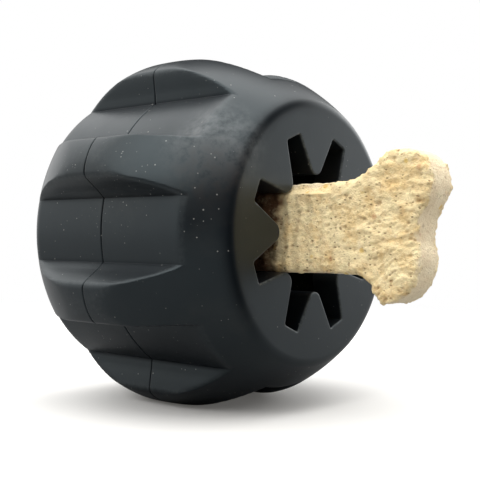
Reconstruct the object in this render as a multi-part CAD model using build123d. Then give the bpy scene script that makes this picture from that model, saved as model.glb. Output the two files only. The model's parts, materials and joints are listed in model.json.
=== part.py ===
"""Treat-dispensing chew ball: a hollow, lugged rubber barrel with eight flexing
mouth teeth, and the bone-shaped biscuit that the teeth hold.

Frame: the barrel's axis is +X, and +X points out of the mouth. The origin is the
centre of the flat rear face, +Z is up, and the ball lies on two of its lugs.
"Turn" angles run round the axis, from -Y (0 degrees) towards +Z (90 degrees).
"""
import os
from math import cos, radians, sin, sqrt, tan

from build123d import *

# ---- driving dimensions, in millimetres and degrees ----
LENGTH = 66.4               # flat rear face to flat mouth face
PARTING_X = LENGTH / 2      # the widest plane, where the two mould halves met
SECTORS = 8                 # lugs, pockets, slots and teeth all repeat eight times
SECTOR_ANGLE = 360 / SECTORS

# barrel outside
CREST_RADIUS = 44.5         # crown of the barrel at the parting plane
FRONT_REACH = 47.5          # how far the front crown curve would run before it closes
FRONT_POWER = 1.75
REAR_REACH = 41.3
REAR_POWER = 2.07
CROWN_STATIONS = 6          # curve points on each side of the parting plane
RIM_FILLET = 3.0
POCKET_FLOOR_RADIUS = 36.65

# cross-section of one lug: (half width, height above the axis)
LUG_CREST_HEIGHT = 44.3
LUG_SHOULDER = (5.1, 42.6)
LUG_WALL_FOOT = (6.2, 38.3)
LUG_VALLEY_HALF_WIDTH = 7.0

# hollow
LIP_THICKNESS = 7.5         # the mouth face, and so the teeth
REAR_WALL = 9.0
HOLLOW_RADIUS = 26.5
HOLLOW_REAR_FILLET = 12.0
HOLLOW_FRONT_FILLET = 0.8
VENT_RADIUS = 3.5

# mouth
SLOT_OUTER_RADIUS = 23.3    # flat outer end of each slot
SLOT_WIDTH = 5.06           # at that outer end
TOOTH_TIP_RADIUS = 13.6     # distance of a tooth's tip from the axis
TOOTH_HALF_ANGLE = 30.5     # between a tooth's side and its middle line
RUNNING_GAP = 0.05          # between a tooth's rolled root and its seat
FLEX_LIMIT = 35.0           # bend of a tooth, inwards and outwards
RELIEF_ANGLE = FLEX_LIMIT + 1.0

# biscuit
BISCUIT_LENGTH = 70.0
BISCUIT_THICKNESS = 8.6
BISCUIT_CENTRE = (PARTING_X + 32.9, -5.5, 1.0)
SHANK_HALF_WIDTH = 9.4
SHANK_HALF_LENGTH = 17.1    # straight part of the shank
KNOB_RADIUS = 6.7
KNOB_OFFSET = 9.2           # knob centre from the biscuit's middle line
NOTCH_DEPTH = 2.2           # dip between the two knobs of one end
BISCUIT_EDGE_ROUNDING = 3.6

# ---- sizes that follow ----
HALF_SECTOR = radians(SECTOR_ANGLE / 2)
HINGE_DISTANCE = SLOT_OUTER_RADIUS * cos(HALF_SECTOR) + SLOT_WIDTH / 2 * sin(HALF_SECTOR)
ROOT_HALF_WIDTH = SLOT_OUTER_RADIUS * sin(HALF_SECTOR) - SLOT_WIDTH / 2 * cos(HALF_SECTOR)
HINGE_X = LENGTH - LIP_THICKNESS / 2
ROLL_RADIUS = LIP_THICKNESS / 2
SEAT_RADIUS = ROLL_RADIUS + RUNNING_GAP
PAST_THE_PART = 10.0        # how far a cutter runs past what it cuts


def crown_radius(from_parting):
    """Radius of the barrel's crown at a distance from the parting plane, + to the mouth."""
    if from_parting >= 0:
        fraction = (from_parting / FRONT_REACH) ** FRONT_POWER
    else:
        fraction = (-from_parting / REAR_REACH) ** REAR_POWER
    return CREST_RADIUS * sqrt(1 - fraction)


def around(radius, turn):
    """A point at a radius and turn angle, as (y, z)."""
    return (-radius * cos(radians(turn)), radius * sin(radians(turn)))


def tooth_turn(number):
    return number * SECTOR_ANGLE


def across_plane(x):
    """Plane across the barrel at x; its local x and y are the frame's Y and Z."""
    return Plane(origin=(x, 0, 0), x_dir=(0, 1, 0), z_dir=(1, 0, 0))


def tooth_front_plane(turn):
    """Plane across the barrel at its origin, with local x outwards along the tooth."""
    y, z = around(1, turn)
    return Plane(origin=(0, 0, 0), x_dir=(0, y, z), z_dir=(1, 0, 0))


def tooth_side_plane(turn):
    """Plane through the axis and a tooth's middle; local x is frame X, local y is outwards."""
    y, z = around(1, turn)
    return Plane(origin=(0, 0, 0), x_dir=(1, 0, 0), z_dir=(0, -z, y))


def crown_solid():
    """The barrel turned from its crown curve, before the pockets are cut."""
    steps = range(-CROWN_STATIONS, CROWN_STATIONS + 1)
    offsets = [PARTING_X * step / CROWN_STATIONS for step in steps]
    crown = Spline([(PARTING_X + d, crown_radius(d)) for d in offsets])
    ends = Polyline((LENGTH, crown_radius(PARTING_X)), (LENGTH, 0), (0, 0), (0, crown_radius(-PARTING_X)))
    turned = revolve(make_face([crown, ends]), Axis.X)
    rims = turned.edges().filter_by(GeomType.CIRCLE)
    return fillet(rims, RIM_FILLET)


def lugged_outline():
    """Cross-section of the barrel: eight lugs with concentric pocket floors between them."""
    valley_height = sqrt(POCKET_FLOOR_RADIUS ** 2 - LUG_VALLEY_HALF_WIDTH ** 2)
    edges = []
    for number in range(SECTORS):
        lug_turn = SECTOR_ANGLE * (number + 0.5)
        placed = Rot(Z=180 - lug_turn)

        def point(side, height, placed=placed):
            return (placed * Pos(height, side, 0)).position

        half, height = LUG_SHOULDER
        foot_half, foot_height = LUG_WALL_FOOT
        edges.append(ThreePointArc(point(-half, height), point(0, LUG_CREST_HEIGHT), point(half, height)))
        for side in (-1, 1):
            edges.append(Polyline(
                point(side * half, height),
                point(side * foot_half, foot_height),
                point(side * LUG_VALLEY_HALF_WIDTH, valley_height),
            ))
        floor_start = point(-LUG_VALLEY_HALF_WIDTH, valley_height)
        middle = Rot(Z=180 - lug_turn - SECTOR_ANGLE / 2) * Pos(POCKET_FLOOR_RADIUS, 0, 0)
        next_lug = Rot(Z=180 - lug_turn - SECTOR_ANGLE)
        floor_end = (next_lug * Pos(valley_height, LUG_VALLEY_HALF_WIDTH, 0)).position
        edges.append(ThreePointArc(floor_start, middle.position, floor_end))
    return make_face(edges)


def hollow_solid():
    """The treat hollow and the vent behind it."""
    length = LENGTH - LIP_THICKNESS - REAR_WALL
    hollow = Pos(REAR_WALL + length / 2, 0, 0) * Rot(Y=90) * Cylinder(HOLLOW_RADIUS, length)
    rear_rim = hollow.edges().filter_by(GeomType.CIRCLE).sort_by(Axis.X)[0]
    hollow = fillet(rear_rim, HOLLOW_REAR_FILLET)
    front_rim = hollow.edges().filter_by(GeomType.CIRCLE).sort_by(Axis.X)[-1]
    hollow = fillet(front_rim, HOLLOW_FRONT_FILLET)
    vent = Rot(Y=90) * Cylinder(VENT_RADIUS, 2 * (REAR_WALL + PAST_THE_PART))
    return hollow + vent


def mouth_cutter():
    """Star mouth without its teeth: one straight root and one slot end per sector."""
    corners = []
    for number in range(SECTORS):
        plane = tooth_front_plane(tooth_turn(number))
        for side in (1, -1):
            corners.append(plane.from_local_coords(Vector(HINGE_DISTANCE, side * ROOT_HALF_WIDTH, 0)))
    flat = make_face(Polyline(corners, close=True))
    depth = LIP_THICKNESS + PAST_THE_PART
    return Pos(LENGTH - LIP_THICKNESS - HOLLOW_FRONT_FILLET, 0, 0) * extrude(flat, depth, dir=(1, 0, 0))


def seat_cutter(turn):
    """Round seat for a tooth's rolled root, opened at both faces so the tooth can bend."""
    corner = SEAT_RADIUS / cos(radians(RELIEF_ANGLE))
    touch = (SEAT_RADIUS * cos(radians(RELIEF_ANGLE)), SEAT_RADIUS * sin(radians(RELIEF_ANGLE)))
    section = Pos(HINGE_X, HINGE_DISTANCE) * Circle(SEAT_RADIUS)
    for side in (1, -1):
        wedge = Polyline((0, 0), (side * corner, 0), (side * touch[0], touch[1]), close=True)
        section += Pos(HINGE_X, HINGE_DISTANCE) * make_face(wedge)
    return extrude(tooth_side_plane(turn) * section, ROOT_HALF_WIDTH, both=True)


def rubber_body():
    outline = across_plane(0) * lugged_outline()
    barrel = crown_solid() & extrude(outline, LENGTH, dir=(1, 0, 0))
    barrel -= hollow_solid()
    barrel -= mouth_cutter()
    for number in range(SECTORS):
        barrel -= seat_cutter(tooth_turn(number))
    return barrel


def tooth_front():
    """Front view of a tooth: wedge with a rounded tip; local x is the distance from the axis."""
    half_width = ROOT_HALF_WIDTH - RUNNING_GAP
    slope = tan(radians(TOOTH_HALF_ANGLE))
    apex = HINGE_DISTANCE - half_width / slope
    lean = sin(radians(TOOTH_HALF_ANGLE))
    tip_rounding = (TOOTH_TIP_RADIUS - apex) / (1 / lean - 1)
    tip_centre = TOOTH_TIP_RADIUS + tip_rounding
    touch_x = tip_centre - tip_rounding * lean
    touch_y = (touch_x - apex) * slope
    back_x = HINGE_DISTANCE + SEAT_RADIUS
    tip = ThreePointArc((touch_x, -touch_y), (TOOTH_TIP_RADIUS, 0), (touch_x, touch_y))
    rest = Polyline(
        (touch_x, touch_y),
        (HINGE_DISTANCE, half_width),
        (back_x, half_width),
        (back_x, -half_width),
        (HINGE_DISTANCE, -half_width),
        (touch_x, -touch_y),
    )
    return make_face([tip, rest])


def tooth_side():
    """Side view of a tooth: a slab as thick as the lip, ending in a half-round root."""
    length = HINGE_DISTANCE - TOOTH_TIP_RADIUS
    slab = Pos(HINGE_X, TOOTH_TIP_RADIUS + length / 2) * Rectangle(LIP_THICKNESS, length)
    return slab + Pos(HINGE_X, HINGE_DISTANCE) * Circle(ROLL_RADIUS)


def mouth_tooth(number):
    turn = tooth_turn(number)
    wedge = extrude(tooth_front_plane(turn) * tooth_front(), LENGTH, dir=(1, 0, 0))
    slab = extrude(tooth_side_plane(turn) * tooth_side(), ROOT_HALF_WIDTH, both=True)
    return wedge & slab


def toward(start, end, distance):
    """The point at a distance from start, on the line to end."""
    gap = sqrt((end[0] - start[0]) ** 2 + (end[1] - start[1]) ** 2)
    share = distance / gap
    return (start[0] + (end[0] - start[0]) * share, start[1] + (end[1] - start[1]) * share)


def biscuit_outline():
    """Bone outline: straight shank, hollow flares, two round knobs and a notch at each end."""
    knob = (BISCUIT_LENGTH / 2 - KNOB_RADIUS, KNOB_OFFSET)
    # the flare circle touches the shank's edge where the straight part ends, and the knob
    reach = knob[0] - SHANK_HALF_LENGTH
    rise = SHANK_HALF_WIDTH - KNOB_OFFSET
    flare = (reach ** 2 + rise ** 2 - KNOB_RADIUS ** 2) / (2 * (KNOB_RADIUS - rise))
    flare_centre = (SHANK_HALF_LENGTH, SHANK_HALF_WIDTH + flare)
    # the notch circle touches both knobs, and dips NOTCH_DEPTH into the end
    bottom = BISCUIT_LENGTH / 2 - NOTCH_DEPTH
    depth = bottom - knob[0]
    notch = (depth ** 2 + KNOB_OFFSET ** 2 - KNOB_RADIUS ** 2) / (2 * (KNOB_RADIUS - depth))
    notch_centre = (bottom + notch, 0)

    flare_touch = toward(knob, flare_centre, KNOB_RADIUS)
    notch_touch = toward(knob, notch_centre, KNOB_RADIUS)
    knob_middle = toward(knob, (knob[0] + 1, knob[1] + 1), KNOB_RADIUS)
    chord_middle = ((SHANK_HALF_LENGTH + flare_touch[0]) / 2, (SHANK_HALF_WIDTH + flare_touch[1]) / 2)
    flare_middle = toward(flare_centre, chord_middle, flare)
    quarter = [
        Line((0, SHANK_HALF_WIDTH), (SHANK_HALF_LENGTH, SHANK_HALF_WIDTH)),
        ThreePointArc((SHANK_HALF_LENGTH, SHANK_HALF_WIDTH), flare_middle, flare_touch),
        ThreePointArc(flare_touch, knob_middle, notch_touch),
    ]
    half = quarter + [mirror(edge, Plane.XZ) for edge in quarter]
    half.append(ThreePointArc(notch_touch, (bottom, 0), (notch_touch[0], -notch_touch[1])))
    return make_face(half + [mirror(edge, Plane.YZ) for edge in half])


def bone_biscuit():
    flat = Plane.XZ * biscuit_outline()
    slab = extrude(flat, BISCUIT_THICKNESS / 2, both=True)
    rims = slab.edges().filter_by(Axis.Y, reverse=True)
    rounded = fillet(rims, BISCUIT_EDGE_ROUNDING)
    return Pos(*BISCUIT_CENTRE) * rounded


def save(shape, node):
    shape.label = node
    export_step(shape, "parts/" + node + ".step")


os.makedirs("parts", exist_ok=True)
save(rubber_body(), "rubber_body")
for number in range(SECTORS):
    save(mouth_tooth(number), "mouth_tooth_" + str(number + 1))
save(bone_biscuit(), "bone_biscuit")
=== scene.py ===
"""Looks for the treat-dispensing chew ball: one seamless rubber moulding and a baked biscuit.

Shapes are worked out in millimetres in the CAD frame (origin at the centre of the flat rear
face, +X out of the mouth, +Z up) and become metres when a mesh is made. Turn angles run round
the barrel's axis from -Y (0 degrees) towards +Z (90 degrees).
"""
import json
import math

import bmesh
import bpy
import numpy as np
from mathutils import Matrix, Vector, noise


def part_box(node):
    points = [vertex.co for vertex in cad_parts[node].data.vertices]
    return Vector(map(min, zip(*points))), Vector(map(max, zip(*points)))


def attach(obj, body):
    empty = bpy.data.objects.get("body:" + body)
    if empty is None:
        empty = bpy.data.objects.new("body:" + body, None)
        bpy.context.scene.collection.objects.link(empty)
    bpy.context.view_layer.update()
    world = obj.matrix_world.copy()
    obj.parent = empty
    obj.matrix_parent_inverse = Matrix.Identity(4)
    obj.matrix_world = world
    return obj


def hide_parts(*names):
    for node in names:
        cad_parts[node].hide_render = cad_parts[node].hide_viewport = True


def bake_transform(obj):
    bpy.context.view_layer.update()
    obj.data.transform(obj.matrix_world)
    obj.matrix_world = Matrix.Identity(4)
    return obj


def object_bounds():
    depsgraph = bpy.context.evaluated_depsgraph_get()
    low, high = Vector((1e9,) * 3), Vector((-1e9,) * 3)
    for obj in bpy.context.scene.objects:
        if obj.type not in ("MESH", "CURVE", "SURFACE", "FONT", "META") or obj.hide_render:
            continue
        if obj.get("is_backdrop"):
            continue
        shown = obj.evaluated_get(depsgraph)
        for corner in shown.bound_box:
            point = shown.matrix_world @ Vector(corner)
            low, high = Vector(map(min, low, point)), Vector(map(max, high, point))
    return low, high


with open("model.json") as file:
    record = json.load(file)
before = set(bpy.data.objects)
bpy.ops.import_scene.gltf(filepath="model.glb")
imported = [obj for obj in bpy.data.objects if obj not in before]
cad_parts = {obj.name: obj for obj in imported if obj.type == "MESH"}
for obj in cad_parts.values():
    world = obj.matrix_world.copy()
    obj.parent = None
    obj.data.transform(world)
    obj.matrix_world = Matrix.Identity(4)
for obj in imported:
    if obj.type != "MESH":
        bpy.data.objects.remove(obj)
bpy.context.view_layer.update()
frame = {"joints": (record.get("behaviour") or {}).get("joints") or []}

MM = 0.001

# ---------------------------------------------------------------- sizes, in millimetres
BODY_LOW, BODY_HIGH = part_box("rubber_body")
LENGTH = (BODY_HIGH.x - BODY_LOW.x) / MM
PARTING_X = LENGTH / 2
SECTORS = 8
HALF_SECTOR = math.pi / SECTORS

CREST_RADIUS = 44.5         # crown of the barrel at the parting plane
FRONT_REACH, FRONT_POWER = 47.5, 1.75       # how the crown falls off towards the mouth ...
REAR_REACH, REAR_POWER = 41.3, 2.07         # ... and towards the rear
RIM_FILLET = 3.0
RIM_ROWS = 8
BARREL_ROWS = 84
POCKET_FLOOR_RADIUS = 36.65
POCKET_BLEND = 0.6
LUG_CREST_HEIGHT = 44.3
LUG_SHOULDER = (4.95, 43.2)     # sideways from the lug's middle, and height from the axis
LUG_WALL_FOOT = (6.2, 38.3)
LUG_VALLEY_HALF_WIDTH = 7.0
CROWN_SHARE = 0.84          # of the way from a lug's crest to its shoulder, where the rounding follows
SHOULDER_ROUNDING = 1.9
FLARE_ROUNDING = 3.0
FOOT_ROUNDING = 0.35
SECTION_STEP = 0.7          # columns round the barrel: one for this much length, in mm ...
SECTION_BEND = 0.22         # ... or for this much turning, in radians
PARTING_GROOVE_DEPTH = 0.30
PARTING_GROOVE_WIDTH = 0.15

LIP_THICKNESS = 7.5
REAR_WALL = 9.0
HOLLOW_RADIUS = 26.5
HOLLOW_REAR_FILLET = 12.0
VENT_RADIUS = 3.5
VENT_ROUNDING = 0.6
VENT_INNER_ROUNDING = 1.0
LIP_INNER_ROUNDING = 0.8

SLOT_OUTER_RADIUS = 23.3
SLOT_WIDTH = 5.06
SLOT_CORNER_ROUNDING = 0.5
TOOTH_TIP_RADIUS = 13.6
TOOTH_HALF_ANGLE = math.radians(30.5)
MOUTH_EDGE_ROUNDING = 0.4
HINGE_DISTANCE = SLOT_OUTER_RADIUS * math.cos(HALF_SECTOR) + SLOT_WIDTH / 2 * math.sin(HALF_SECTOR)
ROOT_HALF_WIDTH = SLOT_OUTER_RADIUS * math.sin(HALF_SECTOR) - SLOT_WIDTH / 2 * math.cos(HALF_SECTOR)
TOOTH_SLOPE = math.tan(TOOTH_HALF_ANGLE)
TOOTH_LEAN = math.sin(TOOTH_HALF_ANGLE)
TOOTH_APEX = HINGE_DISTANCE - ROOT_HALF_WIDTH / TOOTH_SLOPE     # where a tooth's two sides would meet
TIP_ROUNDING = (TOOTH_TIP_RADIUS - TOOTH_APEX) / (1 / TOOTH_LEAN - 1)
SEAM_DISTANCE = 21.4        # a tooth's own mesh starts here, and everything outside it stays still

# columns in half a sector, from the middle of a tooth to the middle of a slot
TIP_COLUMNS = 7
SIDE_COLUMNS = 8
SEAM_COLUMN = TIP_COLUMNS + SIDE_COLUMNS
ROOT_COLUMNS = 2
CORNER_COLUMNS = 4
END_COLUMNS = 7
HALF_COLUMNS = SEAM_COLUMN + ROOT_COLUMNS + CORNER_COLUMNS + END_COLUMNS


# ---------------------------------------------------------------- small helpers
def spread(start, stop, count, skip_first=True):
    """Even steps from start to stop, without the start itself if skip_first."""
    steps = np.linspace(start, stop, count + 1)
    return steps[1:] if skip_first else steps


def bell(value, width):
    """1 at zero, fading to nothing some widths away."""
    return np.exp(-(value / width) ** 2)


def smooth_step(value, low, high):
    """0 below low, 1 above high."""
    share = np.clip((value - low) / (high - low), 0, 1)
    return share * share * (3 - 2 * share)


def smooth_min(a, b, blend):
    """The smaller value, rounded over where the two are closer than blend."""
    overlap = np.maximum(blend - np.abs(a - b), 0) / blend
    return np.minimum(a, b) - overlap ** 2 * blend / 4


def direction(azimuth, elevation):
    """Unit vector at this azimuth, round from the -Y side towards +X, and this elevation."""
    level = math.cos(elevation)
    return Vector((math.sin(azimuth) * level, -math.cos(azimuth) * level, math.sin(elevation)))


def new_object(name, data):
    """An object in the scene that shows this data."""
    made = bpy.data.objects.new(name, data)
    bpy.context.scene.collection.objects.link(made)
    return made


def add_attributes(mesh, attributes):
    """Gives each point of a mesh some named values, which the materials read."""
    for label, values in attributes.items():
        layer = mesh.attributes.new(label, "FLOAT", "POINT")
        layer.data.foreach_set("value", values.astype(np.float32))


# ---------------------------------------------------------------- outline of the mouth
def mouth_half_outline():
    """Points (outwards, sideways) and material-side normals from tooth tip to slot middle."""
    centre = TOOTH_TIP_RADIUS + TIP_ROUNDING
    points, normals = [], []

    for angle in spread(0, math.pi / 2 - TOOTH_HALF_ANGLE, TIP_COLUMNS, skip_first=False):
        points.append((centre - TIP_ROUNDING * math.cos(angle), TIP_ROUNDING * math.sin(angle)))
        normals.append((math.cos(angle), -math.sin(angle)))

    side_normal = (TOOTH_LEAN, -math.cos(TOOTH_HALF_ANGLE))
    turn = math.pi / 2 + HALF_SECTOR - TOOTH_HALF_ANGLE
    trim = SLOT_CORNER_ROUNDING * math.tan(turn / 2)
    along = (math.cos(TOOTH_HALF_ANGLE), TOOTH_LEAN)
    corner = (HINGE_DISTANCE, ROOT_HALF_WIDTH)
    corner_start = (corner[0] - trim * along[0], corner[1] - trim * along[1])
    stops = list(spread(points[-1][0], SEAM_DISTANCE, SIDE_COLUMNS))
    stops += list(spread(SEAM_DISTANCE, corner_start[0], ROOT_COLUMNS))
    for outwards in stops:
        points.append((outwards, (outwards - TOOTH_APEX) * TOOTH_SLOPE))
        normals.append(side_normal)

    arc_centre = (
        corner_start[0] - SLOT_CORNER_ROUNDING * side_normal[0],
        corner_start[1] - SLOT_CORNER_ROUNDING * side_normal[1],
    )
    start = math.atan2(side_normal[1], side_normal[0])
    for angle in spread(start, start + turn, CORNER_COLUMNS):
        normal = (math.cos(angle), math.sin(angle))
        points.append((
            arc_centre[0] + SLOT_CORNER_ROUNDING * normal[0],
            arc_centre[1] + SLOT_CORNER_ROUNDING * normal[1],
        ))
        normals.append(normal)

    middle = (SLOT_OUTER_RADIUS * math.cos(HALF_SECTOR), SLOT_OUTER_RADIUS * math.sin(HALF_SECTOR))
    end_start = points[-1]
    for share in spread(0, 1, END_COLUMNS):
        points.append((
            end_start[0] + (middle[0] - end_start[0]) * share,
            end_start[1] + (middle[1] - end_start[1]) * share,
        ))
        normals.append((math.cos(HALF_SECTOR), math.sin(HALF_SECTOR)))
    return np.array(points), np.array(normals)


def all_round(half_values, flip):
    """Repeats half-sector rows (outwards, sideways) round the barrel as (y, z) columns."""
    mirrored = half_values[1:-1][::-1] * flip
    sector = np.vstack([half_values, mirrored])
    # sector columns run tooth middle -> slot middle, then back along the next tooth's near side
    columns = []
    for number in range(SECTORS):
        for index, (outwards, sideways) in enumerate(sector):
            turn = 2 * HALF_SECTOR * number
            if index > HALF_COLUMNS:
                turn += 2 * HALF_SECTOR
            cos_turn, sin_turn = math.cos(turn), math.sin(turn)
            y = -(outwards * cos_turn - sideways * sin_turn)
            z = outwards * sin_turn + sideways * cos_turn
            columns.append((y, z))
    return np.array(columns)


def rounded_corner(before, corner, after, radius, count):
    """Points of an arc that rounds a corner between two straight lines."""
    corner = np.array(corner)
    back, ahead = np.array(before) - corner, np.array(after) - corner
    back, ahead = back / np.linalg.norm(back), ahead / np.linalg.norm(ahead)
    half = math.acos(float(back @ ahead)) / 2
    trim = radius / math.tan(half)
    bisector = (back + ahead) / np.linalg.norm(back + ahead)
    centre = corner + bisector * radius / math.sin(half)
    start, stop = corner + back * trim - centre, corner + ahead * trim - centre
    points = []
    for share in np.linspace(0, 1, count):
        mix = start * (1 - share) + stop * share
        points.append(centre + mix / np.linalg.norm(mix) * radius)
    return points


def floor_point(angle):
    return (POCKET_FLOOR_RADIUS * math.sin(angle), POCKET_FLOOR_RADIUS * math.cos(angle))


def lug_section():
    """Half of the barrel's cross-section, (sideways, height) from a lug's crest to a pocket's middle."""
    half, height = LUG_SHOULDER
    drop = LUG_CREST_HEIGHT - height
    crown = (half ** 2 + drop ** 2) / (2 * drop)
    points = []
    for share in np.linspace(0, CROWN_SHARE, 30):
        angle = math.asin(half / crown) * share
        points.append((crown * math.sin(angle), LUG_CREST_HEIGHT - crown * (1 - math.cos(angle))))
    valley_angle = math.asin(LUG_VALLEY_HALF_WIDTH / POCKET_FLOOR_RADIUS)
    valley = floor_point(valley_angle)
    shoulder = rounded_corner(points[-1], LUG_SHOULDER, LUG_WALL_FOOT, SHOULDER_ROUNDING, 12)
    points = [point for point in points if point[0] < shoulder[0][0] - 0.1] + shoulder
    points += rounded_corner(LUG_SHOULDER, LUG_WALL_FOOT, valley, FLARE_ROUNDING, 8)
    points += rounded_corner(LUG_WALL_FOOT, valley, floor_point(valley_angle + 0.06), FOOT_ROUNDING, 8)
    for angle in np.linspace(valley_angle + 0.03, HALF_SECTOR, 30):
        points.append(floor_point(angle))
    return np.array(points)


def outer_turns():
    """Turn angle of each column on the barrel: evenly shared out over the length of the lug
    section and over how sharply it turns, so the lug's edges keep their shape."""
    section = lug_section()
    steps = np.diff(section, axis=0)
    lengths = np.hypot(steps[:, 0], steps[:, 1])
    headings = np.unwrap(np.arctan2(steps[:, 1], steps[:, 0]))
    bends = np.abs(np.diff(headings, prepend=headings[0]))
    measure = np.concatenate([[0], np.cumsum(lengths / SECTION_STEP + bends / SECTION_BEND)])
    even = np.linspace(0, measure[-1], HALF_COLUMNS + 1)
    from_lug = np.interp(even, measure, np.arctan2(section[:, 0], section[:, 1]))
    half = (HALF_SECTOR - from_lug)[::-1]
    sector = np.concatenate([half, 2 * HALF_SECTOR - half[1:-1][::-1]])
    return np.concatenate([sector + 2 * HALF_SECTOR * number for number in range(SECTORS)])


OUTLINE_HALF, NORMAL_HALF = mouth_half_outline()
FLIP = np.array([1, -1])
MOUTH = all_round(OUTLINE_HALF, FLIP)
MOUTH_NORMAL = all_round(NORMAL_HALF, FLIP)
TURNS = outer_turns()
ROUND = np.stack([-np.cos(TURNS), np.sin(TURNS)], axis=1)
COLUMNS = len(TURNS)


# ---------------------------------------------------------------- barrel surface
def crown_radius(x):
    """Radius of the barrel's crown at x, before the pockets are cut."""
    offset = x - PARTING_X
    if offset >= 0:
        return CREST_RADIUS * math.sqrt(1 - (offset / FRONT_REACH) ** FRONT_POWER)
    return CREST_RADIUS * math.sqrt(1 - (-offset / REAR_REACH) ** REAR_POWER)


LUG_SECTION = lug_section()
FROM_LUG = np.abs(np.mod(TURNS, 2 * HALF_SECTOR) - HALF_SECTOR)
SECTION = np.interp(
    FROM_LUG,
    np.arctan2(LUG_SECTION[:, 0], LUG_SECTION[:, 1]),
    np.hypot(LUG_SECTION[:, 0], LUG_SECTION[:, 1]),
)


def rim_arc(sign, count):
    """Fillet between the crown and an end face, from the crown outwards: (x, radius) points."""
    face_x = LENGTH if sign > 0 else 0.0
    # halves the range until the fillet that leaves the crown at x just touches the face
    low, high = 0.5, 12.0
    for _ in range(60):
        middle = (low + high) / 2
        x = face_x - sign * middle
        slope = (crown_radius(x + 0.01) - crown_radius(x - 0.01)) / 0.02
        normal_x = -slope / math.hypot(1, slope)
        centre_x = x - RIM_FILLET * normal_x
        inside = sign * (face_x - centre_x)
        if inside > RIM_FILLET:
            high = middle
        else:
            low = middle
    normal_angle = math.atan2(1, -slope)
    centre = (centre_x, crown_radius(x) - RIM_FILLET * math.sin(normal_angle))
    end_angle = 0.0 if sign > 0 else math.pi
    points = []
    for angle in np.linspace(normal_angle, end_angle, count):
        points.append((centre[0] + RIM_FILLET * math.cos(angle), centre[1] + RIM_FILLET * math.sin(angle)))
    return points


FRONT_RIM = rim_arc(1, RIM_ROWS)
REAR_RIM = rim_arc(-1, RIM_ROWS)


def ring(x, radii):
    """One row of the mesh: a ring at x with one radius, or one radius for each column."""
    radii = np.broadcast_to(radii, (COLUMNS,))
    return np.column_stack([np.full(COLUMNS, x), ROUND * radii[:, None]])


def barrel_stations():
    """x of each ring on the barrel: even steps, closer at the parting groove."""
    start, stop = REAR_RIM[0][0], FRONT_RIM[0][0]
    groove = [-0.8, -0.4, -0.25, -0.14, -0.07, 0, 0.07, 0.14, 0.25, 0.4, 0.8]
    close = [PARTING_X + offset for offset in groove]
    even = [x for x in np.linspace(start, stop, BARREL_ROWS) if abs(x - PARTING_X) > 1.0]
    return sorted(even + close)


def barrel_ring(x):
    radii = smooth_min(np.full(COLUMNS, crown_radius(x)), SECTION, POCKET_BLEND)
    groove = PARTING_GROOVE_DEPTH * math.exp(-((x - PARTING_X) / PARTING_GROOVE_WIDTH) ** 2)
    return ring(x, radii - groove)


def mouth_row(x, inset):
    """One row on the mouth's outline, moved into the material by inset."""
    outline = MOUTH + MOUTH_NORMAL * inset
    return np.column_stack([np.full(COLUMNS, x), outline])


QUARTER_TURN = np.linspace(0, math.pi / 2, 5)


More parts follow.
